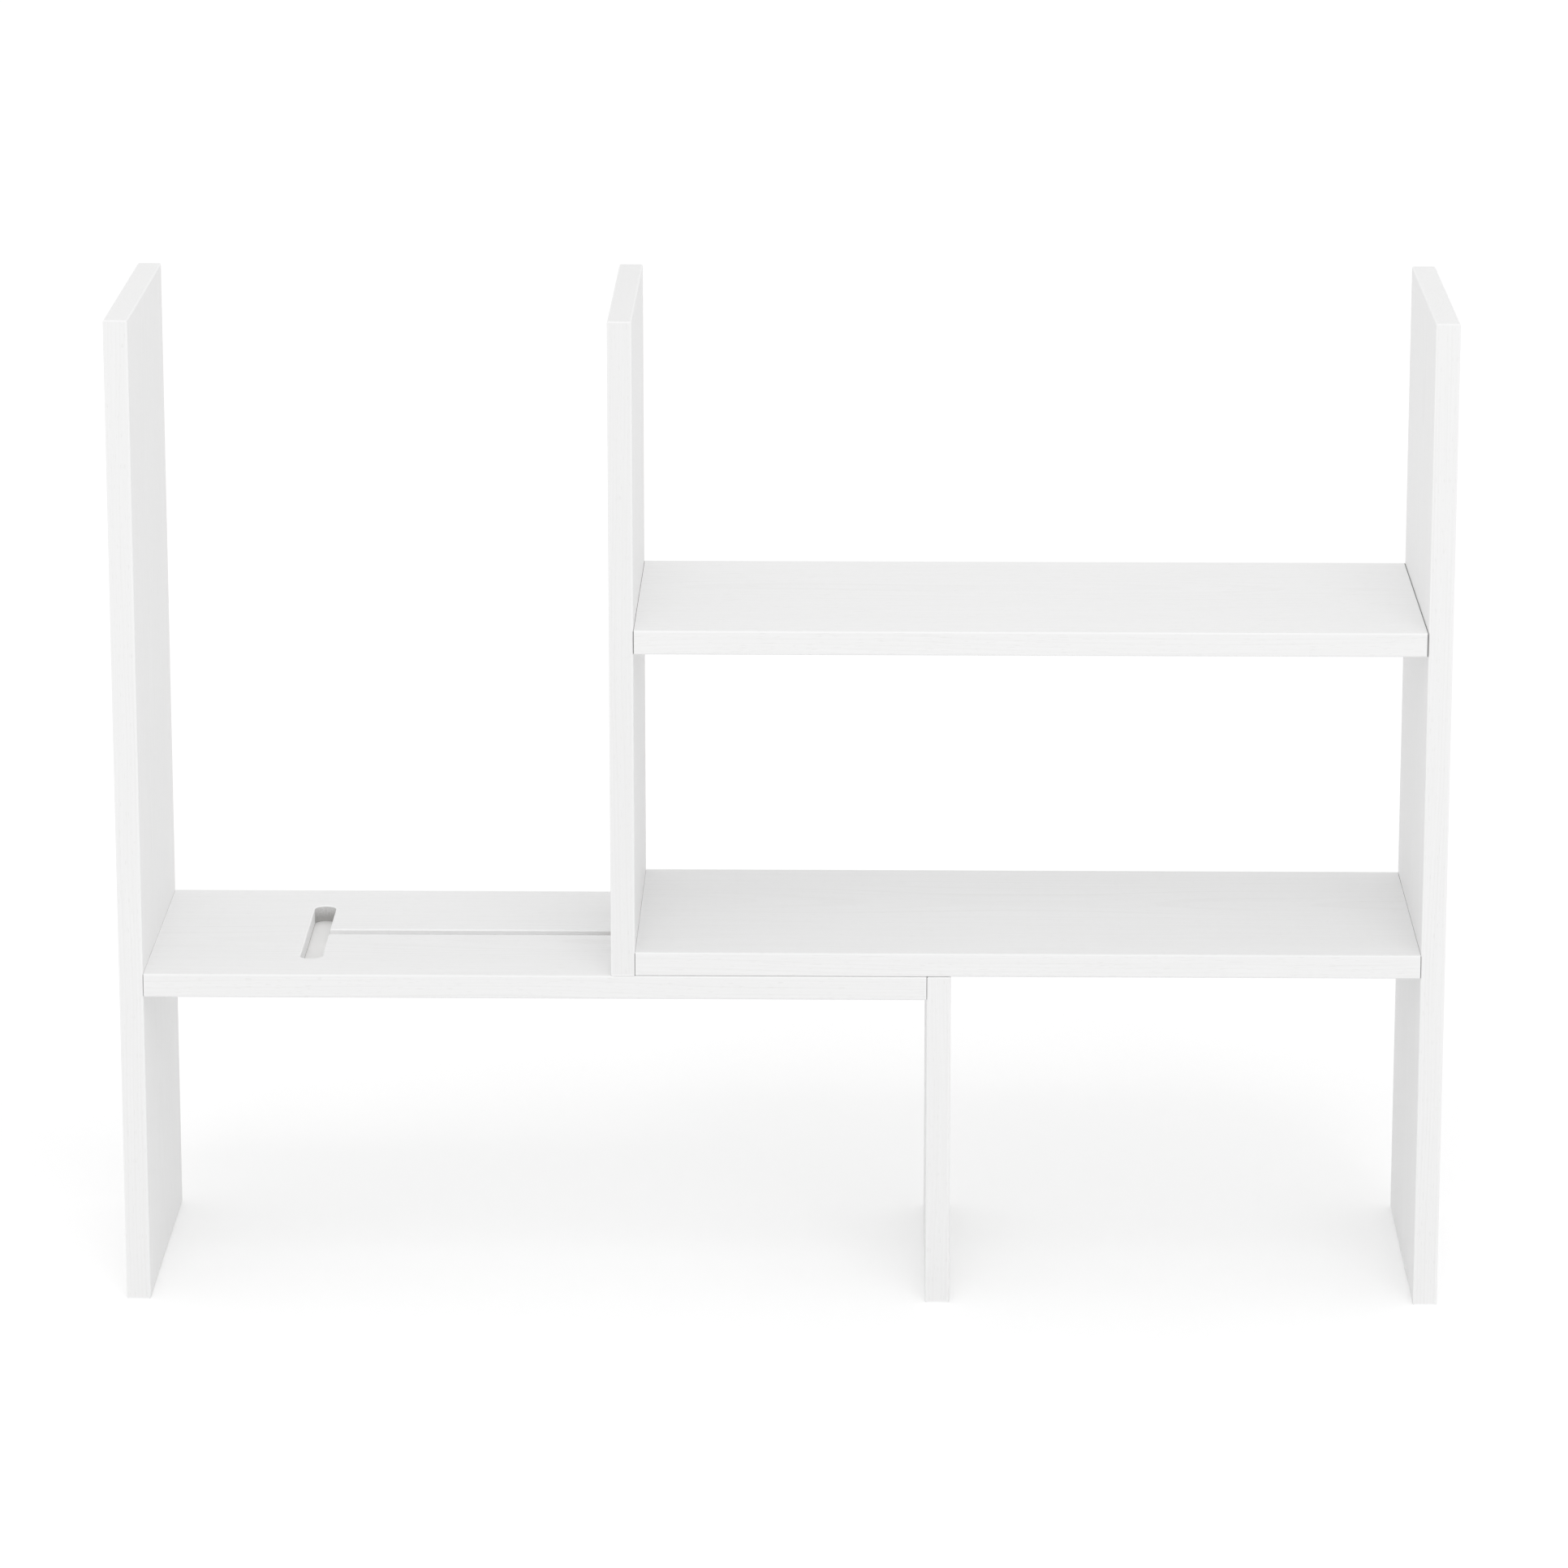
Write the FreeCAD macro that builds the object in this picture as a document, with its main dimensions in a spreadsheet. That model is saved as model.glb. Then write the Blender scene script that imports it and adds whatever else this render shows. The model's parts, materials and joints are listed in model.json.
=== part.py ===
import FreeCAD, Part
import os

import Sketcher

# A desktop bookshelf in two units of painted boards.
# The left unit is a tall side panel, a shelf and a short leg. The shelf has a T-shaped slot in its top.
# The right unit is a divider, a tall side panel and two shelves. Its divider stands on the left shelf,
# and a guide dowel in the divider's lower edge runs along the slot and lets the unit turn.
# Every butt joint has two dowels to place it and two countersunk screws to hold it.
# Millimetres, +Z up, front towards -Y. The origin is on the floor, midway between the two side panels.

SIZES = {
    # Boards
    "board_thickness": 12,
    "unit_depth": 160,
    "unit_height": 500,
    "shelf_length": 390,
    "leg_height": 170,
    "middle_bay_height": 152,
    "open_bay_width": 233,
    "edge_radius": 1,
    "butt_bevel": 0.3,
    # T-shaped guide slot in the left shelf
    "cross_slot_width": 11,
    "cross_slot_length": 100,
    "guide_groove_width": 9,
    "guide_slot_depth": 8.5,
    "groove_end_margin": 45,
    "slot_rim_bevel": 0.7,
    "swivel_clearance": 1,
    # Guide dowel in the divider
    "guide_diameter": 8,
    "guide_bore_depth": 24,
    "guide_floor_gap": 1,
    "guide_bevel": 0.6,
    # Screws
    "screw_spacing": 64,
    "screw_length": 35,
    "screw_head_diameter": 7,
    "screw_head_sink": 0.2,
    "screw_shank_diameter": 3.5,
    "screw_socket_width": 2.5,
    "screw_socket_depth": 1.6,
    # Joint dowels
    "dowel_spacing": 112,
    "dowel_diameter": 6,
    "dowel_length": 30,
    "dowel_panel_depth": 8,
    # Clearances
    "glide_clearance": 0.1,
    "running_clearance": 0.05,
    "shank_clearance": 0.2,
    "hole_end_gap": 0.5,
}

# Places of the boards in X: each is the face that the board starts from
HALF_WIDTH = "(3 * Sizes.board_thickness + Sizes.open_bay_width + Sizes.shelf_length) / 2"
LEFT_OUTER_FACE = f"-{HALF_WIDTH}"
LEFT_SHELF_START = f"({LEFT_OUTER_FACE} + Sizes.board_thickness)"
LEG_OUTER_FACE = f"({LEFT_SHELF_START} + Sizes.shelf_length + Sizes.board_thickness)"
DIVIDER_OUTER_FACE = f"({LEFT_SHELF_START} + Sizes.open_bay_width)"
RIGHT_SHELF_START = f"({DIVIDER_OUTER_FACE} + Sizes.board_thickness)"
RIGHT_OUTER_FACE = HALF_WIDTH
GUIDE_AXIS = f"({DIVIDER_OUTER_FACE} + Sizes.board_thickness / 2)"

# Undersides of the shelves. The lower one clears the left shelf, on which the divider stands.
LEFT_SHELF_UNDERSIDE = "(Sizes.leg_height - Sizes.board_thickness)"
LOWER_SHELF_UNDERSIDE = "(Sizes.leg_height + Sizes.glide_clearance)"
UPPER_SHELF_UNDERSIDE = f"({LOWER_SHELF_UNDERSIDE} + Sizes.board_thickness + Sizes.middle_bay_height)"

# Guide slot, measured from the left end of the left shelf
CROSS_SLOT_CENTRE = "(Sizes.unit_depth / 2 + Sizes.swivel_clearance)"
GROOVE_END_CENTRE = "(Sizes.shelf_length - Sizes.groove_end_margin)"

# Hole diameters
DOWEL_HOLE = "Sizes.dowel_diameter + 2 * Sizes.running_clearance"
PILOT_HOLE = "Sizes.screw_shank_diameter + 2 * Sizes.running_clearance"
SHANK_HOLE = "Sizes.screw_shank_diameter + 2 * Sizes.shank_clearance"
COUNTERSINK = "Sizes.screw_head_diameter + 2 * (Sizes.screw_head_sink + Sizes.running_clearance)"
GUIDE_BORE = "Sizes.guide_diameter + 2 * Sizes.running_clearance"

HALF_TURN = FreeCAD.Rotation(FreeCAD.Vector(0, 0, 1), 180)
NO_TURN = FreeCAD.Rotation()

# Degrees. A countersunk head narrows by its own depth on each side, which is a right angle in all.
FULL_CIRCLE = 360
COUNTERSINK_ANGLE = 90

doc = FreeCAD.newDocument("desktop_bookshelf")


def make_sheet():
    """Write the driving dimensions into a spreadsheet, one named cell each."""
    sheet = doc.addObject("Spreadsheet::Sheet", "Sizes")
    for row, (alias, number) in enumerate(SIZES.items(), start=1):
        sheet.set(f"A{row}", alias)
        sheet.set(f"B{row}", str(number))
        sheet.setAlias(f"B{row}", alias)
    doc.recompute()
    return sheet


sizes = make_sheet()


def number(expression):
    """The present value of an expression on the sheet."""
    return float(sizes.evalExpression(expression))


def new_body(name):
    """An empty body whose label names its file."""
    body = doc.addObject("PartDesign::Body", name)
    body.Label = name
    return body


def place(body, x, z, turn):
    """Set a body down at height z, at x, mid-depth. A half turn makes it face the other way."""
    body.Placement = FreeCAD.Placement(FreeCAD.Vector(), turn)
    body.setExpression("Placement.Base.x", x)
    body.setExpression("Placement.Base.z", z)


def origin_plane(body, role):
    """One of the body's own origin planes."""
    return next(item for item in body.Origin.OriginFeatures if item.Role == role)


def new_sketch(body, name, role, lift=None, shift=None):
    """A sketch on an origin plane, lifted along its normal or shifted along its second axis."""
    sketch = body.newObject("Sketcher::SketchObject", f"{body.Name}_{name}")
    sketch.AttachmentSupport = [(origin_plane(body, role), "")]
    sketch.MapMode = "FlatFace"
    if lift:
        sketch.setExpression("AttachmentOffset.Base.z", lift)
    if shift:
        sketch.setExpression("AttachmentOffset.Base.y", shift)
    return sketch


def bind(sketch, kind, elements, expression):
    """Add a dimension to a sketch and tie it to the sheet."""
    index = sketch.addConstraint(Sketcher.Constraint(kind, *elements, number(expression)))
    sketch.setExpression(f"Constraints[{index}]", expression)


def fix_point(sketch, geometry, position, x, y):
    """Tie a point of the sketch to two distances from the sketch's origin."""
    bind(sketch, "DistanceX", (-1, 1, geometry, position), x)
    bind(sketch, "DistanceY", (-1, 1, geometry, position), y)


def draw_polygon(sketch, corners):
    """A closed outline of straight lines through the corners, each given as two expressions."""
    points = [FreeCAD.Vector(number(x), number(y), 0) for x, y in corners]
    count = len(points)
    for index in range(count):
        sketch.addGeometry(Part.LineSegment(points[index], points[(index + 1) % count]), False)
    for index in range(count):
        sketch.addConstraint(Sketcher.Constraint("Coincident", index, 2, (index + 1) % count, 1))
    for index, (x, y) in enumerate(corners):
        fix_point(sketch, index, 1, x, y)


def draw_circle(sketch, x, y, diameter):
    """A circle about the point x, y."""
    centre = FreeCAD.Vector(number(x), number(y), 0)
    up = FreeCAD.Vector(0, 0, 1)
    index = sketch.addGeometry(Part.Circle(centre, up, number(diameter) / 2), False)
    bind(sketch, "Diameter", (index,), diameter)
    fix_point(sketch, index, 3, x, y)


def draw_circle_pair(sketch, spacing, y, diameter):
    """Two circles at height y, one on each side of the sketch's upright axis."""
    for side in ("", "-"):
        draw_circle(sketch, f"{side}{spacing} / 2", y, diameter)


def draw_round_slot(sketch, first_centre, last_centre, width):
    """A slot with half-round ends about two centres that lie along one sketch axis."""
    first = FreeCAD.Vector(*(number(value) for value in first_centre), 0)
    last = FreeCAD.Vector(*(number(value) for value in last_centre), 0)
    radius = number(width) / 2
    along = (last - first).normalize() * radius
    across = FreeCAD.Vector(-along.y, along.x, 0)
    ends = (
        Part.Arc(first + across, first - along, first - across),
        Part.Arc(last - across, last + along, last + across),
    )
    for arc in ends:
        sketch.addGeometry(arc, False)
    sketch.addGeometry(Part.LineSegment(first - across, last - across), False)
    sketch.addGeometry(Part.LineSegment(last + across, first + across), False)
    for one, one_end, other, other_end in ((0, 2, 2, 1), (2, 2, 1, 1), (1, 2, 3, 1), (3, 2, 0, 1)):
        sketch.addConstraint(Sketcher.Constraint("Tangent", one, one_end, other, other_end))
    bind(sketch, "Diameter", (0,), width)
    fix_point(sketch, 0, 3, *first_centre)
    fix_point(sketch, 1, 3, *last_centre)


def pad(body, sketch, length):
    """Raise a sketch into a solid."""
    feature = body.newObject("PartDesign::Pad", f"{sketch.Name}_pad")
    feature.Profile = sketch
    feature.setExpression("Length", length)
    doc.recompute()
    return feature


def must_have_cut(feature, volume_before):
    """Stop if a cut took nothing away, as one that points out of the board does."""
    if not feature.Shape.Volume < volume_before:
        raise RuntimeError(f"{feature.Name} cuts nothing")


def pocket(body, sketch, depth, forwards=False):
    """Sink a sketch into the body, against the sketch's normal or, forwards, along it."""
    volume_before = body.Tip.Shape.Volume
    feature = body.newObject("PartDesign::Pocket", f"{sketch.Name}_pocket")
    feature.Profile = sketch
    feature.Reversed = forwards
    feature.setExpression("Length", depth)
    doc.recompute()
    must_have_cut(feature, volume_before)
    return feature


def edge_names(shape, chosen):
    """The names under which a shape knows the chosen edges."""
    return [
        f"Edge{index}"
        for index, edge in enumerate(shape.Edges, start=1)
        if any(edge.isSame(other) for other in chosen)
    ]


def rim_edges(shape):
    """The rims of a board's two wide faces."""
    wide_faces = sorted(shape.Faces, key=lambda face: face.Area)[-2:]
    return [edge for face in wide_faces for edge in face.Edges]


def round_edges(body, solid, edges):
    """Round over the chosen edges of a board."""
    feature = body.newObject("PartDesign::Fillet", f"{body.Name}_eased_edges")
    feature.Base = (solid, edge_names(solid.Shape, edges))
    feature.setExpression("Radius", "Sizes.edge_radius")
    doc.recompute()
    must_have_cut(feature, solid.Shape.Volume)
    return feature


def bevel_edges(body, solid, name, edges, size):
    """Bevel the chosen edges of a board."""
    feature = body.newObject("PartDesign::Chamfer", f"{body.Name}_{name}")
    feature.Base = (solid, edge_names(solid.Shape, edges))
    feature.setExpression("Size", size)
    doc.recompute()
    must_have_cut(feature, solid.Shape.Volume)


def make_panel(name, height, joint_heights):
    """An upright board, outer face at local x = 0, bored for the shelves at the given heights.

    The screws go in from the outer face, and the dowels sit in blind holes in the inner face.
    """
    body = new_body(name)
    outline = new_sketch(body, "outline", "YZ_Plane")
    half = "Sizes.unit_depth / 2"
    draw_polygon(outline, [(f"-{half}", "0"), (half, "0"), (half, height), (f"-{half}", height)])
    board = pad(body, outline, "Sizes.board_thickness")
    round_edges(body, board, rim_edges(board.Shape))

    bore_screw_holes(body, joint_heights)

    dowel_holes = new_sketch(body, "dowel_holes", "YZ_Plane", lift="Sizes.board_thickness")
    for joint_height in joint_heights:
        draw_circle_pair(dowel_holes, "Sizes.dowel_spacing", joint_height, DOWEL_HOLE)
    pocket(body, dowel_holes, "Sizes.dowel_panel_depth")
    return body


def bore_screw_holes(body, joint_heights):
    """Countersunk through holes for the screws, from the panel's outer face inwards."""
    places = new_sketch(body, "screw_holes", "YZ_Plane")
    for joint_height in joint_heights:
        draw_circle_pair(places, "Sizes.screw_spacing", joint_height, SHANK_HOLE)
    doc.recompute()
    volume_before = body.Tip.Shape.Volume
    holes = body.newObject("PartDesign::Hole", f"{body.Name}_countersunk_holes")
    holes.Profile = places
    holes.ThreadType = 0
    holes.DepthType = "ThroughAll"
    holes.HoleCutType = "Countersink"
    holes.HoleCutCustomValues = True
    holes.HoleCutCountersinkAngle = COUNTERSINK_ANGLE
    holes.Reversed = True
    holes.setExpression("Diameter", SHANK_HOLE)
    holes.setExpression("HoleCutDiameter", COUNTERSINK)
    doc.recompute()
    must_have_cut(holes, volume_before)


def end_faces(shape):
    """A shelf's two ends, the lowest and the highest face in X."""
    in_order = sorted(shape.Faces, key=lambda face: face.CenterOfMass.x)
    return in_order[0], in_order[-1]


def make_shelf(name):
    """A level board, left end at local x = 0, bored in both ends for dowels and screws.

    Its front and back edges are rounded. Its ends are butted against panels and only lose their sharpness.
    """
    body = new_body(name)
    outline = new_sketch(body, "outline", "XY_Plane")
    half = "Sizes.unit_depth / 2"
    length = "Sizes.shelf_length"
    draw_polygon(outline, [("0", f"-{half}"), (length, f"-{half}"), (length, half), ("0", half)])
    board = pad(body, outline, "Sizes.board_thickness")
    long_edges = [edge for edge in rim_edges(board.Shape) if edge.BoundBox.XLength > edge.BoundBox.YLength]
    eased = round_edges(body, board, long_edges)
    end_edges = [edge for face in end_faces(eased.Shape) for edge in face.Edges]
    bevel_edges(body, eased, "bevelled_ends", end_edges, "Sizes.butt_bevel")

    middle = "Sizes.board_thickness / 2"
    dowel_depth = "Sizes.dowel_length + 2 * Sizes.hole_end_gap - Sizes.dowel_panel_depth"
    pilot_depth = "Sizes.screw_head_sink + Sizes.screw_length + Sizes.hole_end_gap - Sizes.board_thickness"
    for end, lift in (("left", None), ("right", length)):
        dowel_holes = new_sketch(body, f"{end}_dowel_holes", "YZ_Plane", lift=lift)
        draw_circle_pair(dowel_holes, "Sizes.dowel_spacing", middle, DOWEL_HOLE)
        pocket(body, dowel_holes, dowel_depth, forwards=lift is None)
        pilot_holes = new_sketch(body, f"{end}_pilot_holes", "YZ_Plane", lift=lift)
        draw_circle_pair(pilot_holes, "Sizes.screw_spacing", middle, PILOT_HOLE)
        pocket(body, pilot_holes, pilot_depth, forwards=lift is None)
    return body


def cut_guide_slot(shelf):
    """Rout the T-shaped slot: a cross slot from front to back, and a groove from it to the right."""
    top = "Sizes.board_thickness"
    reach = "(Sizes.cross_slot_length - Sizes.cross_slot_width) / 2"
    cross = new_sketch(shelf, "cross_slot", "XY_Plane", lift=top)
    draw_round_slot(
        cross,
        (CROSS_SLOT_CENTRE, f"-{reach}"),
        (CROSS_SLOT_CENTRE, reach),
        "Sizes.cross_slot_width",
    )
    pocket(shelf, cross, "Sizes.guide_slot_depth")
    groove = new_sketch(shelf, "guide_groove", "XY_Plane", lift=top)
    draw_round_slot(groove, (CROSS_SLOT_CENTRE, "0"), (GROOVE_END_CENTRE, "0"), "Sizes.guide_groove_width")
    ease_slot_rim(shelf, pocket(shelf, groove, "Sizes.guide_slot_depth"))


def ease_slot_rim(shelf, slotted):
    """Bevel the sharp rim that the slot leaves in the shelf's top face."""
    top = max(slotted.Shape.Faces, key=lambda face: (round(face.CenterOfMass.z, 3), face.Area))
    rim = [edge for wire in top.Wires if not wire.isSame(top.OuterWire) for edge in wire.Edges]
    bevel_edges(shelf, slotted, "bevelled_rim", rim, "Sizes.slot_rim_bevel")


def bore_guide_seat(divider):
    """Drill the blind bore for the guide dowel up into the divider's lower edge."""
    mouth = new_sketch(divider, "guide_bore", "XY_Plane")
    draw_circle(mouth, "Sizes.board_thickness / 2", "0", GUIDE_BORE)
    pocket(divider, mouth, "Sizes.guide_bore_depth", forwards=True)


def turn_profile(body, sketch, axis):
    """Revolve a half profile about one of the sketch's own axes."""
    feature = body.newObject("PartDesign::Revolution", f"{sketch.Name}_turned")
    feature.Profile = sketch
    feature.ReferenceAxis = (sketch, [axis])
    feature.Angle = FULL_CIRCLE
    doc.recompute()
    return feature


def mirror_to_back(body, features):
    """Repeat features on the other side of mid-depth, as a second solid of the same body."""
    mirrored = body.newObject("PartDesign::Mirrored", f"{body.Name}_pair")
    mirrored.Originals = features
    mirrored.MirrorPlane = (origin_plane(body, "XZ_Plane"), [""])
    body.Tip = mirrored
    doc.recompute()


def make_dowel_pair(name):
    """Two joint dowels, set back from the panel's outer face by what the panel's hole leaves."""
    body = new_body(name)
    start = "Sizes.board_thickness - Sizes.dowel_panel_depth + Sizes.hole_end_gap"
    ends = new_sketch(body, "ends", "YZ_Plane", lift=start)
    draw_circle_pair(ends, "Sizes.dowel_spacing", "0", "Sizes.dowel_diameter")
    pad(body, ends, "Sizes.dowel_length")
    return body


def make_screw_pair(name):
    """Two countersunk, blunt-ended screws with hexagon sockets, heads just under the panel's outer face."""
    body = new_body(name)
    profile = new_sketch(body, "profile", "XY_Plane", shift="Sizes.screw_spacing / 2")
    top = "Sizes.screw_head_sink"
    end = "Sizes.screw_head_sink + Sizes.screw_length"
    head = "Sizes.screw_head_diameter / 2"
    shank = "Sizes.screw_shank_diameter / 2"
    draw_polygon(profile, [
        (top, "0"),
        (top, head),
        (f"{top} + {head} - {shank}", shank),
        (end, shank),
        (end, "0"),
    ])
    screw = turn_profile(body, profile, "H_Axis")

    flat = "Sizes.screw_socket_width / 2"
    corner = "Sizes.screw_socket_width / sqrt(3)"
    hexagon = new_sketch(body, "socket", "YZ_Plane", lift=top)
    middle = "Sizes.screw_spacing / 2"
    draw_polygon(hexagon, [
        (f"{middle} + {flat}", f"{corner} / 2"),
        (middle, corner),
        (f"{middle} - {flat}", f"{corner} / 2"),
        (f"{middle} - {flat}", f"-{corner} / 2"),
        (middle, f"-{corner}"),
        (f"{middle} + {flat}", f"-{corner} / 2"),
    ])
    socket = pocket(body, hexagon, "Sizes.screw_socket_depth", forwards=True)
    mirror_to_back(body, [screw, socket])
    return body


def make_guide_dowel():
    """The guide dowel, upright, from just above the slot's floor to just under the bore's end."""
    body = new_body("guide_dowel")
    profile = new_sketch(body, "profile", "XZ_Plane")
    in_slot = "Sizes.guide_slot_depth - Sizes.guide_floor_gap"
    in_bore = "Sizes.guide_bore_depth - Sizes.hole_end_gap"
    length = f"{in_slot} + {in_bore}"
    radius = "Sizes.guide_diameter / 2"
    bevelled = f"{radius} - Sizes.guide_bevel"
    draw_polygon(profile, [
        ("0", "0"),
        (bevelled, "0"),
        (radius, "Sizes.guide_bevel"),
        (radius, f"{length} - Sizes.guide_bevel"),
        (bevelled, length),
        ("0", length),
    ])
    turn_profile(body, profile, "V_Axis")
    place(body, GUIDE_AXIS, f"Sizes.leg_height - ({in_slot})", NO_TURN)
    return body


def above(underside, base="0"):
    """Height of a shelf's mid-plane above a panel's foot."""
    return f"{underside} - {base} + Sizes.board_thickness / 2"


# Left unit
left_side_panel = make_panel("left_side_panel", "Sizes.unit_height", [above(LEFT_SHELF_UNDERSIDE)])
place(left_side_panel, LEFT_OUTER_FACE, "0", NO_TURN)

left_shelf = make_shelf("left_shelf")
cut_guide_slot(left_shelf)
place(left_shelf, LEFT_SHELF_START, LEFT_SHELF_UNDERSIDE, NO_TURN)

left_leg = make_panel("left_leg", "Sizes.leg_height", [above(LEFT_SHELF_UNDERSIDE)])
place(left_leg, LEG_OUTER_FACE, "0", HALF_TURN)

# Right unit
divider_foot = "Sizes.leg_height"
divider_panel = make_panel(
    "divider_panel",
    f"Sizes.unit_height - {divider_foot}",
    [above(LOWER_SHELF_UNDERSIDE, divider_foot), above(UPPER_SHELF_UNDERSIDE, divider_foot)],
)
bore_guide_seat(divider_panel)
place(divider_panel, DIVIDER_OUTER_FACE, divider_foot, NO_TURN)

right_side_panel = make_panel(
    "right_side_panel",
    "Sizes.unit_height",
    [above(LOWER_SHELF_UNDERSIDE), above(UPPER_SHELF_UNDERSIDE)],
)
place(right_side_panel, RIGHT_OUTER_FACE, "0", HALF_TURN)

lower_shelf = make_shelf("lower_shelf")
place(lower_shelf, RIGHT_SHELF_START, LOWER_SHELF_UNDERSIDE, NO_TURN)

upper_shelf = make_shelf("upper_shelf")
place(upper_shelf, RIGHT_SHELF_START, UPPER_SHELF_UNDERSIDE, NO_TURN)

sub_parts = [
    left_side_panel, left_shelf, left_leg,
    divider_panel, right_side_panel, lower_shelf, upper_shelf,
    make_guide_dowel(),
]

# Fasteners of each butt joint: where the panel's outer face is, which way it faces, and the shelf
JOINTS = {
    "left_panel": (LEFT_OUTER_FACE, NO_TURN, LEFT_SHELF_UNDERSIDE),
    "left_leg": (LEG_OUTER_FACE, HALF_TURN, LEFT_SHELF_UNDERSIDE),
    "divider_lower": (DIVIDER_OUTER_FACE, NO_TURN, LOWER_SHELF_UNDERSIDE),
    "divider_upper": (DIVIDER_OUTER_FACE, NO_TURN, UPPER_SHELF_UNDERSIDE),
    "right_panel_lower": (RIGHT_OUTER_FACE, HALF_TURN, LOWER_SHELF_UNDERSIDE),
    "right_panel_upper": (RIGHT_OUTER_FACE, HALF_TURN, UPPER_SHELF_UNDERSIDE),
}
for joint, (outer_face, turn, underside) in JOINTS.items():
    for fasteners in (make_screw_pair(f"{joint}_screws"), make_dowel_pair(f"{joint}_dowels")):
        place(fasteners, outer_face, above(underside), turn)
        sub_parts.append(fasteners)

doc.recompute()

for item in doc.Objects:
    if "Invalid" in item.State or "Error" in item.State:
        raise RuntimeError(f"{item.Name} did not recompute: {item.State}")
for item in sub_parts:
    if item.Shape.isNull() or not item.Shape.isValid():
        raise RuntimeError(f"{item.Label} has no sound shape")

os.makedirs("parts", exist_ok=True)
for item in sub_parts:
    item.Shape.exportStep(f"parts/{item.Label}.step")
    box = item.Shape.BoundBox
    extent = f"{box.XLength:.2f} x {box.YLength:.2f} x {box.ZLength:.2f}"
    print(f"{item.Label}: {len(item.Shape.Solids)} solids, {extent}")
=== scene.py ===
"""Finishes, fasteners, studio and camera for the desktop bookshelf.

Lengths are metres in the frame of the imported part: +X runs right along the shelves, +Y to the
back and +Z up, from the surface that the bookshelf stands on. Colours are linear.
"""
import json
import logging
import math
from abc import ABC, abstractmethod
from dataclasses import dataclass, field
from enum import Enum
from typing import ClassVar

import bmesh
import bpy
from mathutils import Matrix, Vector


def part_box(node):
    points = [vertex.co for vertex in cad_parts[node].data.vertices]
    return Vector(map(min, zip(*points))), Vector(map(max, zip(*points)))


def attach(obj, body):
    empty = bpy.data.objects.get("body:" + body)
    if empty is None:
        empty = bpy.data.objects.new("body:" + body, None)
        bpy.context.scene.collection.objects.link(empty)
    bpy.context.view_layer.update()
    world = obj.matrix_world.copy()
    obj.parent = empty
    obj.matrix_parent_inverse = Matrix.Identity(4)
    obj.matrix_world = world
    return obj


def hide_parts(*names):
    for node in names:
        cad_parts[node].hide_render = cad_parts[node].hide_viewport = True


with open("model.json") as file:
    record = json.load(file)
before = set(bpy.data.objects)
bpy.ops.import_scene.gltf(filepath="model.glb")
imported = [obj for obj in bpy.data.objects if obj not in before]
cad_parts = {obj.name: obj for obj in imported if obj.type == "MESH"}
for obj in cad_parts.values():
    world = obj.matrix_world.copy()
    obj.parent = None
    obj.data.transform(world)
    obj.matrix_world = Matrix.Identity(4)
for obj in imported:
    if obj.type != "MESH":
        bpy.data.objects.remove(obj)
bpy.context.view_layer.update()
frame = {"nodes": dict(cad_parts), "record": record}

MM = 0.001
QUARTER_TURN = math.pi / 2
FULL_TURN = 2 * math.pi
CREASE = math.radians(30)
MERGE_DISTANCE = 0.001 * MM

# The kinds of socket that node groups have.
NUMBER = "NodeSocketFloat"
VECTOR = "NodeSocketVector"

# A Mix node lists its sockets for numbers and vectors before those for colours.
MIX_BELOW, MIX_ABOVE, MIX_RESULT = 6, 7, 2

# A source is what feeds a socket. A look is a colour, a roughness and a height.
Colour = tuple[float, float, float]
Source = bpy.types.NodeSocket | float | Vector | tuple[float, ...]
Look = tuple[Source, Source, Source]

log = logging.getLogger("bookshelf")


class Body(Enum):
    """The frame's bodies that new pieces ride on."""

    LEFT_UNIT = "left_unit"
    RIGHT_UNIT = "right_unit"


class Slot(Enum):
    """The record's material slots for new pieces."""

    BEECH = "beech"
    ZINC_STEEL = "zinc_steel"


class GrainRun(Enum):
    """How a piece's grain runs, as the turn that lays it along X."""

    LYING = (0.0, 0.0, 0.0)
    UPRIGHT = (0.0, QUARTER_TURN, 0.0)


class HeadSide(Enum):
    """The side that a joint's screws are driven in from, as the turn about Z that points them inwards."""

    LEFT = 0.0
    RIGHT = math.pi


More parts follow.
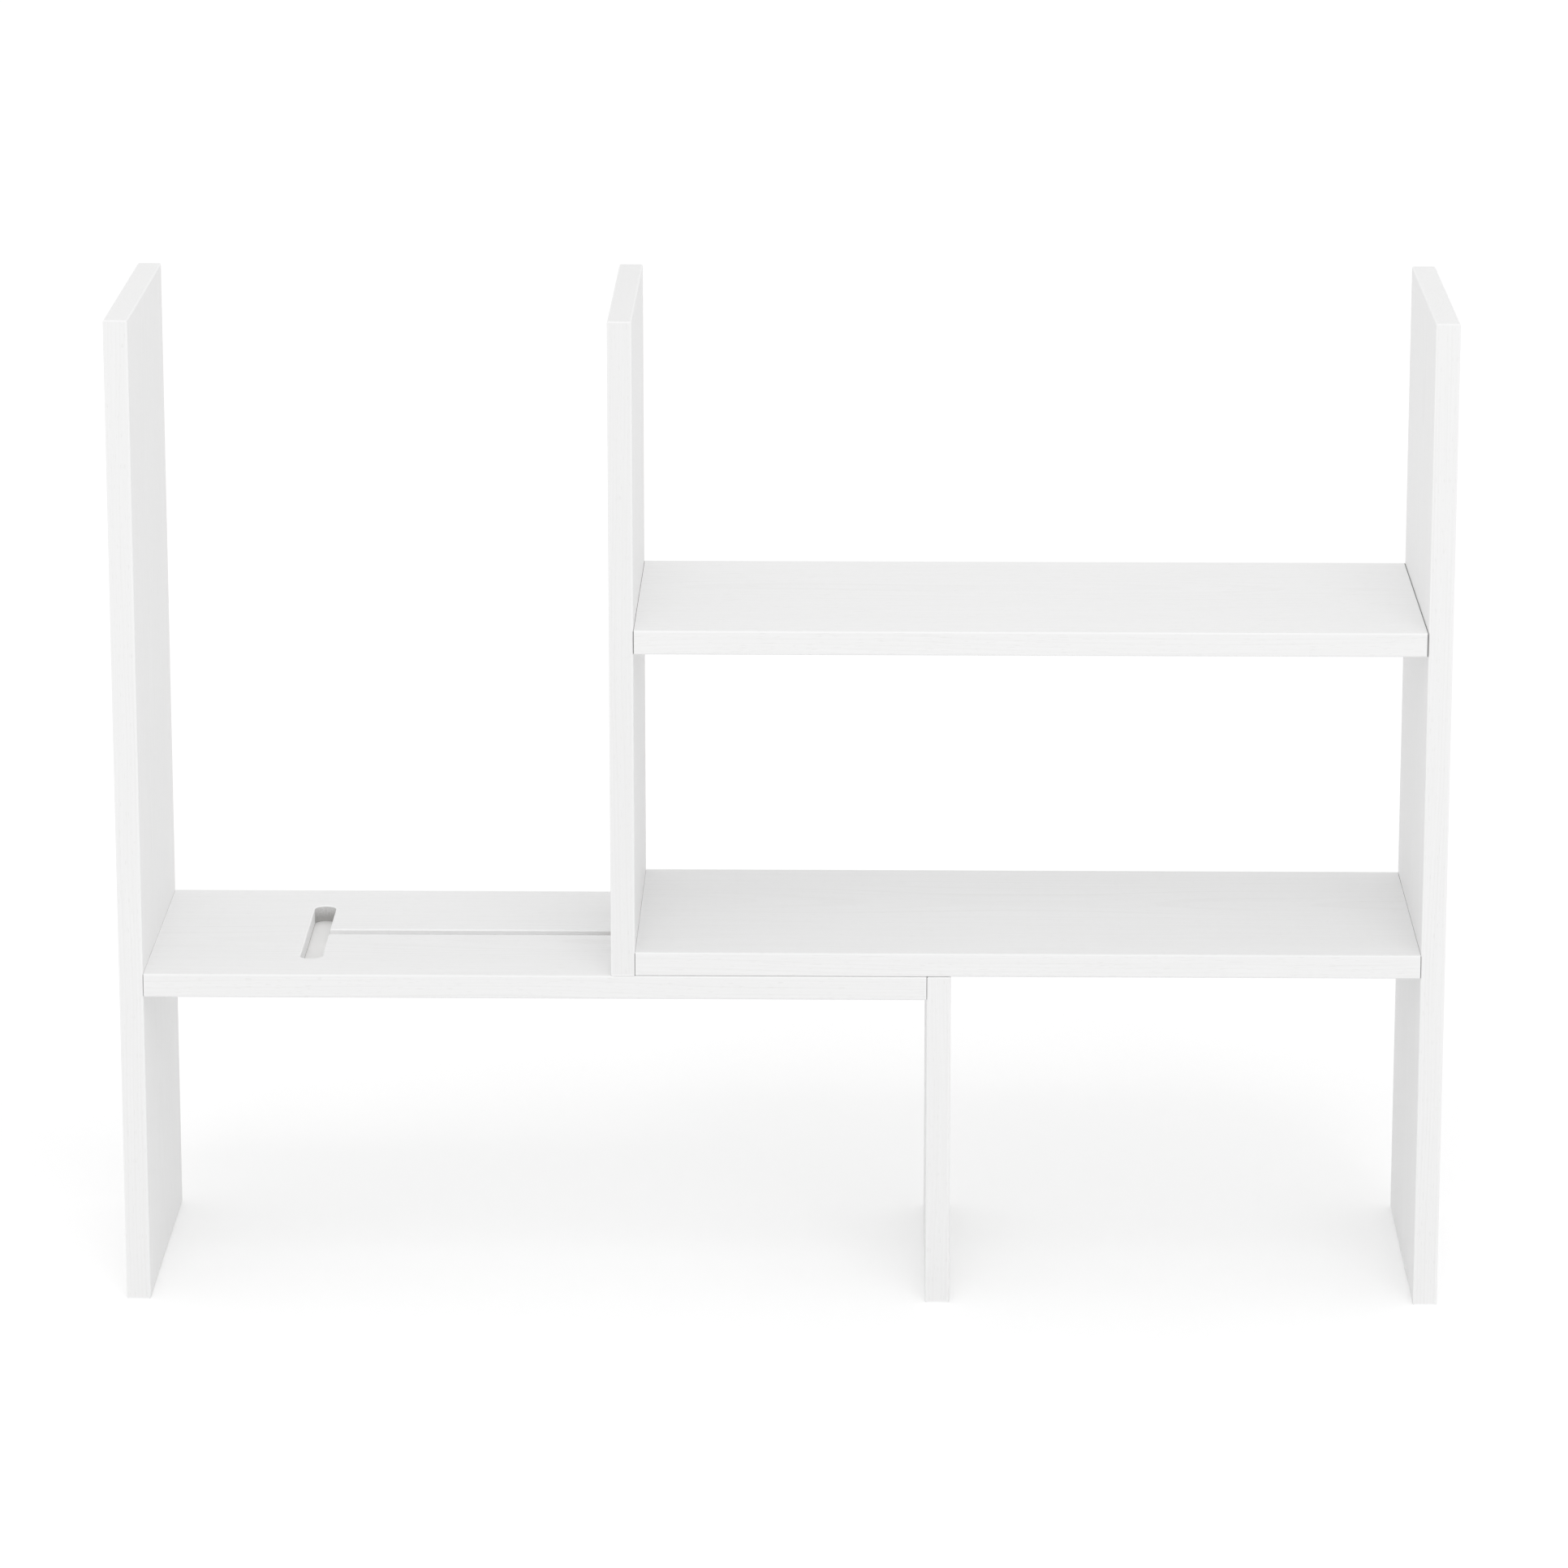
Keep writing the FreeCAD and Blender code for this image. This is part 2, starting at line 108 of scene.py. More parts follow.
class NodeSheet:
    """Adds, sets and links the nodes of one shader tree."""

    def __init__(self, tree: bpy.types.NodeTree) -> None:
        """Take over a node tree."""
        self.tree = tree

    def add(self, kind: str, *sources: Source, **settings: object) -> bpy.types.Node:
        """Add a node.

        Args:
            kind: the node's type.
            sources: what feeds its first inputs, in order.
            settings: its properties, by name.

        Returns:
            The new node.
        """
        node = self.tree.nodes.new(kind)
        for name, value in settings.items():
            setattr(node, name, value)
        for socket, source in zip(node.inputs, sources):
            self.feed(socket, source)
        return node

    def feed(self, socket: bpy.types.NodeSocket, source: Source) -> None:
        """Link a socket to a source, or set it to a plain value.

        Args:
            socket: the input to fill.
            source: an output socket or a value.
        """
        if isinstance(source, bpy.types.NodeSocket):
            self.tree.links.new(source, socket)
        else:
            socket.default_value = source

    def math(self, operation: str, *sources: Source) -> bpy.types.NodeSocket:
        """Work out a number with a Math node's operation."""
        return self.add("ShaderNodeMath", *sources, operation=operation).outputs["Value"]

    def vector(self, operation: str, *sources: Source) -> bpy.types.NodeSocket:
        """Work out a vector with a Vector Math node's operation."""
        return self.add("ShaderNodeVectorMath", *sources, operation=operation).outputs["Vector"]

    def parts(self, vector: Source) -> tuple[bpy.types.NodeSocket, ...]:
        """Split a vector into its X, Y and Z."""
        return tuple(self.add("ShaderNodeSeparateXYZ", vector).outputs)

    def join(self, x: Source, y: Source, z: Source) -> bpy.types.NodeSocket:
        """Make a vector of three numbers."""
        return self.add("ShaderNodeCombineXYZ", x, y, z).outputs["Vector"]

    def distance(self, first: Source, second: Source) -> bpy.types.NodeSocket:
        """Work out a distance from its shares along two axes."""
        squares = [self.math("MULTIPLY", share, share) for share in (first, second)]
        return self.math("SQRT", self.math("ADD", *squares))

    def ramp(self, value: Source, start: Source, end: Source) -> bpy.types.NodeSocket:
        """Turn a number into a soft mask, which is 0 at the start and 1 at the end."""
        node = self.add("ShaderNodeMapRange", value, start, end, interpolation_type="SMOOTHSTEP")
        return node.outputs["Result"]

    def noise(self, vector: Source, detail: float, scale: float = 1.0) -> bpy.types.NodeSocket:
        """Add soft noise.

        Args:
            vector: the place to read it at.
            detail: how many finer layers it has.
            scale: how many features fit in one unit.

        Returns:
            The noise's socket, about 0.5 on average.
        """
        node = self.add("ShaderNodeTexNoise", vector)
        self.feed(node.inputs["Scale"], scale)
        self.feed(node.inputs["Detail"], detail)
        return node.outputs["Fac"]

    def tint(self, base: Source, colour: Colour, amount: Source) -> bpy.types.NodeSocket:
        """Mix a colour over another.

        Args:
            base: the colour below, a socket or a colour.
            colour: the colour on top.
            amount: how much of it shows, 0 to 1.

        Returns:
            The mixed colour's socket.
        """
        node = self.add("ShaderNodeMix", amount, data_type="RGBA", clamp_factor=True)
        below = base if isinstance(base, bpy.types.NodeSocket) else (*base, 1.0)
        self.feed(node.inputs[MIX_BELOW], below)
        self.feed(node.inputs[MIX_ABOVE], (*colour, 1.0))
        return node.outputs[MIX_RESULT]

    def place(self, group: bpy.types.NodeTree, **sources: Source) -> bpy.types.bpy_prop_collection:
        """Place a node group.

        Args:
            group: the group's tree.
            sources: its inputs, by name with _ for a space.

        Returns:
            The group's outputs, by name.
        """
        node = self.add("ShaderNodeGroup", node_tree=group)
        for name, source in sources.items():
            self.feed(node.inputs[name.replace("_", " ").title()], source)
        return node.outputs

    def bump(self, height: Source, depth: float) -> bpy.types.NodeSocket:
        """Turn a height into a normal.

        Args:
            height: the height's socket.
            depth: the relief of a height of 1.

        Returns:
            The normal's socket.
        """
        node = self.add("ShaderNodeBump")
        self.feed(node.inputs["Distance"], depth)
        self.feed(node.inputs["Height"], height)
        return node.outputs["Normal"]


class GroupSheet(NodeSheet):
    """A shader node group in the making."""

    def __init__(self, name: str, inputs: dict[str, str], outputs: tuple[str, ...]) -> None:
        """Make the group and its sockets.

        Args:
            name: the group's name.
            inputs: each input's kind of socket, by name.
            outputs: the names of its outputs, all numbers.
        """
        super().__init__(bpy.data.node_groups.new(name, "ShaderNodeTree"))
        for label, kind in inputs.items():
            self.tree.interface.new_socket(label, in_out="INPUT", socket_type=kind)
        for label in outputs:
            self.tree.interface.new_socket(label, in_out="OUTPUT", socket_type=NUMBER)
        self.given = self.add("NodeGroupInput").outputs
        self.result = self.add("NodeGroupOutput").inputs


class Effects:
    """The shader node groups that the finishes share, each built once."""

    def __init__(self) -> None:
        """Build the groups."""
        self.wood_grain = self._wood_grain()
        self.paint_film = self._paint_film()
        self.block = self._block()

    @staticmethod
    def _wood_grain() -> bpy.types.NodeTree:
        """Build timber as a solid pattern: growth rings round a pith that runs along X.

        Returns:
            The group: Rings, Fibres and Pores, each 0 to 1.
        """
        bends_per_metre, bend_reach, bend_stretch = 9.0, 12.8 * MM, (0.35, 1.0, 1.0)
        late_start, late_full, late_end = 0.35, 0.9, 0.93
        changes_per_metre, changes_per_year, faint_to_strong = 3.2, 0.8, (0.25, 0.75)
        fibre_length, gap_to_fibre = 45 * MM, (0.3, 0.7)
        pore_length, pore_share, timber_to_pore = 5 * MM, 0.6, (0.68, 0.78)
        inputs = {"Position": VECTOR, "Ring Width": NUMBER, "Fibre Width": NUMBER}
        sheet = GroupSheet("wood_grain", inputs, ("Rings", "Fibres", "Pores"))
        position, width = sheet.given["Position"], sheet.given["Fibre Width"]
        along, across, deep = sheet.parts(position)

        # Rings: the distance from the pith, bent a little, with a soft dark band late in each year.
        stretched = sheet.vector("MULTIPLY", position, bend_stretch)
        bend = sheet.noise(stretched, detail=2.0, scale=bends_per_metre)
        bend = sheet.math("MULTIPLY", sheet.math("SUBTRACT", bend, 0.5), bend_reach)
        radius = sheet.math("ADD", sheet.distance(across, deep), bend)
        years = sheet.math("DIVIDE", radius, sheet.given["Ring Width"])
        season = sheet.math("FRACT", years)
        late_wood = sheet.math("MULTIPLY", sheet.ramp(season, late_start, late_full),
                               sheet.ramp(season, 1.0, late_end))
        change = sheet.join(sheet.math("MULTIPLY", along, changes_per_metre),
                            sheet.math("MULTIPLY", years, changes_per_year), 0.0)
        strength = sheet.ramp(sheet.noise(change, detail=1.0), *faint_to_strong)
        sheet.feed(sheet.result["Rings"], sheet.math("MULTIPLY", late_wood, strength))

        # Fibres and pores: noise that is drawn out along the grain.
        streaks = sheet.vector("DIVIDE", position, sheet.join(fibre_length, width, width))
        sheet.feed(sheet.result["Fibres"], sheet.ramp(sheet.noise(streaks, detail=2.0), *gap_to_fibre))
        pore_width = sheet.math("MULTIPLY", width, pore_share)
        dashes = sheet.vector("DIVIDE", position, sheet.join(pore_length, pore_width, pore_width))
        sheet.feed(sheet.result["Pores"], sheet.ramp(sheet.noise(dashes, detail=0.0), *timber_to_pore))
        return sheet.tree

    @staticmethod
    def _paint_film() -> bpy.types.NodeTree:
        """Build the paint's own surface: the stipple of a sprayed coat and slow changes of sheen.

        Returns:
            The group: Stipple and Sheen, each 0 to 1.
        """
        inputs = {"Position": VECTOR, "Stipple Size": NUMBER, "Patch Size": NUMBER}
        sheet = GroupSheet("paint_film", inputs, ("Stipple", "Sheen"))
        for label, size_label in (("Stipple", "Stipple Size"), ("Sheen", "Patch Size")):
            size = sheet.given[size_label]
            spread = sheet.vector("DIVIDE", sheet.given["Position"], sheet.join(size, size, size))
            sheet.feed(sheet.result[label], sheet.noise(spread, detail=2.0))
        return sheet.tree

    @staticmethod
    def _block() -> bpy.types.NodeTree:
        """Build masks of a block: its arrises, and what lies within it.

        Returns:
            The group: Arris, 1 on an arris to 0 at Reach from it, and Within, 0 or 1.
        """
        inputs = {"Position": VECTOR, "Centre": VECTOR, "Half Size": VECTOR, "Reach": NUMBER}
        sheet = GroupSheet("block", inputs, ("Arris", "Within"))
        offset = sheet.vector("SUBTRACT", sheet.given["Position"], sheet.given["Centre"])
        inset = sheet.vector("SUBTRACT", sheet.given["Half Size"], sheet.vector("ABSOLUTE", offset))
        x, y, z = sheet.parts(inset)

        # Near an arris the middle one of the three insets is small. Within the block all are positive.
        lesser, greater = sheet.math("MINIMUM", x, y), sheet.math("MAXIMUM", x, y)
        middle = sheet.math("MAXIMUM", lesser, sheet.math("MINIMUM", greater, z))
        sheet.feed(sheet.result["Arris"], sheet.ramp(middle, sheet.given["Reach"], 0.0))
        nearest = sheet.math("MINIMUM", lesser, z)
        sheet.feed(sheet.result["Within"], sheet.math("GREATER_THAN", nearest, 0.0))
        return sheet.tree


class MaterialSheet(NodeSheet):
    """A new material's shader tree: its principled shader, and the place and normal of what it shades."""

    def __init__(self, name: str, effects: Effects) -> None:
        """Make the material.

        Args:
            name: the material's name.
            effects: the shared node groups.
        """
        self.material = bpy.data.materials.new(name)
        self.material.use_nodes = True
        super().__init__(self.material.node_tree)
        self.tree.nodes.clear()
        self.effects = effects
        shader = self.add("ShaderNodeBsdfPrincipled")
        output = self.add("ShaderNodeOutputMaterial")
        self.feed(output.inputs["Surface"], shader.outputs["BSDF"])
        self.shader = shader.inputs
        coordinates = self.add("ShaderNodeTexCoord").outputs
        self.position = coordinates["Object"]
        self.normal = coordinates["Normal"]

    def timber(self, position: Source, run: GrainRun, pith: Vector,
               **widths: float) -> bpy.types.bpy_prop_collection:
        """Add the timber's solid pattern.

        Args:
            position: the place to read it at.
            run: how the grain runs.
            pith: where the place's origin lies, from the pith.
            widths: the ring_width and the fibre_width.

        Returns:
            The masks of the rings, fibres and pores, by name.
        """
        laid = self.add("ShaderNodeMapping", position)
        self.feed(laid.inputs["Rotation"], run.value)
        self.feed(laid.inputs["Location"], pith)
        return self.place(self.effects.wood_grain, position=laid.outputs["Vector"], **widths)


@dataclass(frozen=True, kw_only=True)
class Finish(ABC):
    """A finish, which is made into a material of its own name."""

    name: str
    relief: float
    specular: float = 0.5
    metallic: float = 0.0

    def make(self, effects: Effects) -> bpy.types.Material:
        """Make the material.

        Args:
            effects: the shared node groups.

        Returns:
            The material.
        """
        sheet = MaterialSheet(self.name, effects)
        colour, rough, height = self.look(sheet)
        sheet.feed(sheet.shader["Base Color"], colour)
        sheet.feed(sheet.shader["Roughness"], rough)
        sheet.feed(sheet.shader["Normal"], sheet.bump(height, self.relief))
        sheet.feed(sheet.shader["Specular IOR Level"], self.specular)
        sheet.feed(sheet.shader["Metallic"], self.metallic)
        return sheet.material

    @abstractmethod
    def look(self, sheet: MaterialSheet) -> Look:
        """Lay out the finish's colour, roughness and height on the material's sheet."""


@dataclass(frozen=True, kw_only=True)
class PaintedWood(Finish):
    """White satin paint over one board's fine straight grain, with a painted highlight on the edges that
    don't face down.
    """

    low: Vector
    high: Vector
    run: GrainRun
    pith: Vector
    paint: Colour
    grain_tint: Colour = (0.8, 0.795, 0.785)
    ring_width: float = 1.3 * MM
    ring_share: float = 0.2
    fibre_width: float = 0.7 * MM
    fibre_share: float = 0.12
    pore_tint: Colour = (0.64, 0.63, 0.61)
    pore_share: float = 0.15
    arris_highlight_tint: Colour = (0.99, 0.99, 0.99)
    arris_reach: float = 1.1 * MM
    arris_highlight_share: float = 0.8
    unhighlighted_slope: float = -0.5
    highlighted_slope: float = -0.1
    stipple_size: float = 0.9 * MM
    stipple_share: float = 0.4
    patch_size: float = 40 * MM
    sheen_spread: float = 0.1
    roughness: float = 0.51
    grain_roughness: float = 0.3
    specular: float = 0.125
    relief: float = 0.04 * MM

    def look(self, sheet: MaterialSheet) -> Look:
        """Lay out the paint over the grain.

        Args:
            sheet: the material's sheet.

        Returns:
            The colour, roughness and height.
        """
        centre, half_size = (self.low + self.high) / 2, (self.high - self.low) / 2
        local = sheet.vector("SUBTRACT", sheet.position, centre)
        grain = sheet.timber(local, self.run, self.pith, ring_width=self.ring_width,
                             fibre_width=self.fibre_width)
        film = sheet.place(sheet.effects.paint_film, position=local, stipple_size=self.stipple_size,
                           patch_size=self.patch_size)
        arris = sheet.place(sheet.effects.block, position=sheet.position, centre=centre,
                            half_size=half_size, reach=self.arris_reach)["Arris"]

        rings = sheet.math("MULTIPLY", grain["Rings"], self.ring_share)
        lines = sheet.math("MULTIPLY_ADD", grain["Fibres"], self.fibre_share, rings)
        pores = sheet.math("MULTIPLY", grain["Pores"], self.pore_share)
        slope = sheet.parts(sheet.normal)[2]
        # Painted highlight: the eased edges are lightened, except where they face down into shade.
        highlighted_arris = sheet.math("MULTIPLY", arris, sheet.ramp(slope, self.unhighlighted_slope, self.highlighted_slope))
        colour = sheet.tint(self.paint, self.grain_tint, lines)
        colour = sheet.tint(colour, self.pore_tint, pores)
        colour = sheet.tint(colour, self.arris_highlight_tint, sheet.math("MULTIPLY", highlighted_arris, self.arris_highlight_share))
        rough = sheet.math("MULTIPLY_ADD", film["Sheen"], self.sheen_spread, self.roughness)
        rough = sheet.math("MULTIPLY_ADD", lines, self.grain_roughness, rough)
        stipple = sheet.math("MULTIPLY", film["Stipple"], self.stipple_share)
        return colour, rough, sheet.math("SUBTRACT", stipple, lines)


@dataclass(frozen=True, kw_only=True)
class ShelfPaint(PaintedWood):
    """The paint of a shelf, with a grey line of painted shade at each end that is butted against a panel,
    where the joint's gap is shaded.
    """

    joint_shade_left: float
    joint_shade_right: float
    joint_shade_more: float = 0.15 * MM
    joint_shade_fade: float = 0.2
    joint_shade_tint: Colour = (0.31, 0.31, 0.308)
    wall_slope: float = 0.5

    def look(self, sheet: MaterialSheet) -> Look:
        """Lay out the shelf's paint with lines of painted shade at both ends, wider on its front and back
        edges.

        Args:
            sheet: the material's sheet.

        Returns:
            The colour, roughness and height.
        """
        colour, rough, height = self.coat(sheet)
        # Painted shade: a grey line at each butted end stands for the shade in the joint's gap. It is wider
        # on upright faces.
        x = sheet.parts(sheet.position)[0]
        slope = sheet.math("ABSOLUTE", sheet.parts(sheet.normal)[2])
        more = sheet.math("MULTIPLY", sheet.math("LESS_THAN", slope, self.wall_slope), self.joint_shade_more)
        ends = ((sheet.math("SUBTRACT", x, self.low.x), self.joint_shade_left),
                (sheet.math("SUBTRACT", self.high.x, x), self.joint_shade_right))
        for from_end, width in ends:
            reach = sheet.math("ADD", more, width)
            shade_from = sheet.math("MULTIPLY", reach, 1 + self.joint_shade_fade)
            shade_full_at = sheet.math("MULTIPLY", reach, 1 - self.joint_shade_fade)
            colour = sheet.tint(colour, self.joint_shade_tint, sheet.ramp(from_end, shade_from, shade_full_at))
        return colour, rough, height

    def coat(self, sheet: MaterialSheet) -> Look:
        """Lay out the paint between the lines of painted shade."""
        return super().look(sheet)


@dataclass(frozen=True, kw_only=True)
class RoutedShelfPaint(ShelfPaint):
    """The paint of the shelf with the guide slot: painted highlights on its rims, painted shade on its
    floor and at the feet of its walls, and end walls mottled by torn fibres and darkened towards the bottom
    by painted shade.
    """

    slot_low: Vector
    slot_high: Vector
    slot_room: Vector = Vector((7 * MM, 7 * MM, 0.5 * MM))
    level_slope: float = 0.9
    floor_shade_tint: Colour = (0.9, 0.897, 0.89)
    foot_height: float = 0.9 * MM
    torn_wood_and_shade_tint: Colour = (0.5, 0.495, 0.485)
    end_roughness: float = 0.3
    depth_shade_top: float = 0.1
    depth_shade_foot: float = 0.85
    torn_size: float = 0.9 * MM
    torn_share: float = 0.6
    torn_height: float = 3.0

    def coat(self, sheet: MaterialSheet) -> Look:
        """Lay out the paint between the lines of painted shade, with the slot's rims, floor and walls.

        Args:
            sheet: the material's sheet.

        Returns:
            The colour, roughness and height.
        """
        colour, rough, height = super().coat(sheet)
        middle, half = (self.slot_low + self.slot_high) / 2, (self.slot_high - self.slot_low) / 2
        y, z = sheet.parts(sheet.position)[1:]
        off_middle = sheet.math("ABSOLUTE", sheet.math("SUBTRACT", y, middle.y))
        within = sheet.place(sheet.effects.block, position=sheet.position, centre=middle,
                             half_size=half + self.slot_room)["Within"]
        slope = sheet.math("ABSOLUTE", sheet.parts(sheet.normal)[2])
        upright = sheet.math("LESS_THAN", slope, self.wall_slope)
        not_level = sheet.math("LESS_THAN", slope, self.level_slope)

        # The rims are what slopes as far out as the slot reaches, along the groove too. They get a painted
        # highlight.
        sloping = sheet.math("SUBTRACT", not_level, upright)
        near = sheet.math("LESS_THAN", off_middle, half.y + self.slot_room.y)
        colour = sheet.tint(colour, self.arris_highlight_tint, sheet.math("MULTIPLY", sloping, near))

        # The floor is what is level and sunk. Painted shade darkens it a little, and a dark line of painted
        # shade runs where the walls meet it.
        sunk = sheet.math("MULTIPLY", within, sheet.math("LESS_THAN", z, middle.z))
        floor = sheet.math("MULTIPLY", sunk, sheet.math("SUBTRACT", 1.0, not_level))
        colour = sheet.tint(colour, self.floor_shade_tint, floor)
        walls = sheet.math("MULTIPLY", within, upright)
        foot = sheet.ramp(z, self.slot_low.z + self.foot_height, self.slot_low.z)
        colour = sheet.tint(colour, self.torn_wood_and_shade_tint, sheet.math("MULTIPLY", walls, foot))

        # The half-round end walls have torn fibres, which mottle them, and painted shade that darkens them
        # towards the bottom.
        ends = sheet.math("MULTIPLY", walls, sheet.math("GREATER_THAN", off_middle, half.y))
        torn = sheet.noise(sheet.position, detail=3.0, scale=1 / self.torn_size)
        depth_shade = sheet.math("MULTIPLY_ADD", sheet.ramp(z, self.slot_high.z, self.slot_low.z),
                            self.depth_shade_foot - self.depth_shade_top, self.depth_shade_top)
        shown = sheet.math("MULTIPLY_ADD", torn, self.torn_share, depth_shade)
        colour = sheet.tint(colour, self.torn_wood_and_shade_tint, sheet.math("MULTIPLY", ends, shown))
        rough = sheet.math("MULTIPLY_ADD", ends, self.end_roughness, rough)
        torn_ends = sheet.math("MULTIPLY", ends, torn)
        return colour, rough, sheet.math("MULTIPLY_ADD", torn_ends, self.torn_height, height)


@dataclass(frozen=True, kw_only=True)
class BareBeech(Finish):
    """Turned beech without a coat: pale brown with short darker flecks."""

    run: GrainRun
    timber: Colour = (0.56, 0.36, 0.2)
    grain_tint: Colour = (0.42, 0.25, 0.13)
    ring_width: float = 1.1 * MM
    ring_share: float = 0.6
    fibre_width: float = 0.35 * MM
    fibre_share: float = 0.4
    fleck_tint: Colour = (0.3, 0.16, 0.08)
    roughness: float = 0.55
    grain_roughness: float = 0.15
    relief: float = 0.05 * MM

    def look(self, sheet: MaterialSheet) -> Look:
        """Lay out the timber.

        Args:
            sheet: the material's sheet.

        Returns:
            The colour, roughness and height.
        """
        grain = sheet.timber(sheet.position, self.run, Vector(), ring_width=self.ring_width,
                             fibre_width=self.fibre_width)
        rings = sheet.math("MULTIPLY", grain["Rings"], self.ring_share)
        fibres = sheet.math("MULTIPLY", grain["Fibres"], self.fibre_share)
        colour = sheet.tint(self.timber, self.grain_tint, rings)
        colour = sheet.tint(colour, self.grain_tint, fibres)
        colour = sheet.tint(colour, self.fleck_tint, grain["Pores"])
        rough = sheet.math("MULTIPLY_ADD", grain["Fibres"], self.grain_roughness, self.roughness)
        return colour, rough, sheet.math("SUBTRACT", grain["Fibres"], grain["Pores"])


@dataclass(frozen=True, kw_only=True)
class ZincSteel(Finish):
    """Zinc plated steel with faint turning rings about the axes of a pair of screws."""

    height: float
    spacing: float
    plate: Colour = (0.64, 0.65, 0.67)
    dull_plate: Colour = (0.5, 0.51, 0.53)
    bright_sheen: float = 0.35
    dull_sheen: float = 0.7
    ring_pitch: float = 0.35 * MM
    stipple_size: float = 0.3 * MM
    patch_size: float = 1.2 * MM
    roughness: float = 0.28
    dull_roughness: float = 0.15
    metallic: float = 1.0
    relief: float = 0.01 * MM

    def look(self, sheet: MaterialSheet) -> Look:
        """Lay out the plating.

        Args:
            sheet: the material's sheet.

        Returns:
            The colour, roughness and height.
        """
        y, z = sheet.parts(sheet.position)[1:]
        aside = sheet.math("SUBTRACT", sheet.math("ABSOLUTE", y), self.spacing / 2)
        above = sheet.math("SUBTRACT", z, self.height)
        turned = sheet.math("DIVIDE", sheet.distance(aside, above), self.ring_pitch)
        film = sheet.place(sheet.effects.paint_film, position=sheet.position,
                           stipple_size=self.stipple_size, patch_size=self.patch_size)
        dull = sheet.ramp(film["Sheen"], self.bright_sheen, self.dull_sheen)
        colour = sheet.tint(self.plate, self.dull_plate, dull)
        rough = sheet.math("MULTIPLY_ADD", dull, self.dull_roughness, self.roughness)
        return colour, rough, sheet.math("PINGPONG", turned, 1.0)


def dress_node(name: str, material: bpy.types.Material) -> bpy.types.Object:
    """Put a material in a CAD node's slot.

    Args:
        name: the node's name.
        material: its finish.

    Returns:
        The node's object.
    """
    node = frame["nodes"][name]
    node.material_slots[0].material = material
    return node


def new_piece(name: str, shape: bmesh.types.BMesh, material: bpy.types.Material) -> bpy.types.Object:
    """Make an object of a finished shape, with its place in its mesh.

    Args:
        name: the piece's name.
        shape: its bmesh, which is freed.
        material: its finish.

    Returns:
        The object, linked to the scene.
    """
    bmesh.ops.remove_doubles(shape, verts=shape.verts, dist=MERGE_DISTANCE)
    bmesh.ops.recalc_face_normals(shape, faces=shape.faces)
    for face in shape.faces:
        face.smooth = True
    mesh = bpy.data.meshes.new(name)
    shape.to_mesh(mesh)
    shape.free()
    mesh.set_sharp_from_angle(angle=CREASE)
    mesh.materials.append(material)
    piece = bpy.data.objects.new(name, mesh)
    bpy.context.scene.collection.objects.link(piece)
    return piece


@dataclass(frozen=True, kw_only=True)
class Board:
    """One painted board of the frame, and where in the tree it was cut.

    Its middle is that far along the trunk. It is off the pith by pith_off through the board's thickness,
    and by pith_aside from front to back.
    """

    node: str
    along: float
    pith_off: float
    white: float = 0.92
    pith_aside: ClassVar[float]
    run: ClassVar[GrainRun]
    coat: ClassVar[type[PaintedWood]]

    def dress(self, effects: Effects) -> bpy.types.Object:
        """Paint the board's node.

        Args:
            effects: the shared node groups.

        Returns:
            The node's object.
        """
        low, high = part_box(self.node)
        pith = Vector((self.along, self.pith_aside, self.pith_off))
        finish = self.coat(name=f"paint_{self.node}", low=low, high=high, run=self.run, pith=pith,
                           paint=(self.white,) * 3, **self.features())
        return dress_node(self.node, finish.make(effects))

    def features(self) -> dict[str, float | Vector]:
        """Return what else the coat has to know of the board, by name: nothing for a plain one."""
        return {}


class Panel(Board):
    """A board that stands on its end."""

    pith_aside = 12 * MM
    run = GrainRun.UPRIGHT
    coat = PaintedWood


@dataclass(frozen=True, kw_only=True)
class Shelf(Board):
    """A board that lies flat between two panels, and the widths of the lines of painted joint shade at its
    ends.
    """

    joint_shade_left: float
    joint_shade_right: float
    pith_aside: ClassVar[float] = -18 * MM
    run: ClassVar[GrainRun] = GrainRun.LYING
    coat: ClassVar[type[PaintedWood]] = ShelfPaint

    def features(self) -> dict[str, float | Vector]:
        """Return the widths of the lines of painted joint shade."""
        return {"joint_shade_left": self.joint_shade_left, "joint_shade_right": self.joint_shade_right}


class GuideShelf(Shelf):
    """The shelf whose top has the guide slot routed into it."""

    pith_aside = 15 * MM
    coat = RoutedShelfPaint
    opening = "cross_slot"

    def features(self) -> dict[str, float | Vector]:
        """Return the widths of the lines of painted joint shade, and the cross slot's corners from the
        record's openings.
        """
        openings = {opening["name"]: opening["box_m"] for opening in frame["record"]["physics"]["openings"]}
        slot_low, slot_high = map(Vector, openings[self.opening])
        return super().features() | {"slot_low": slot_low, "slot_high": slot_high}


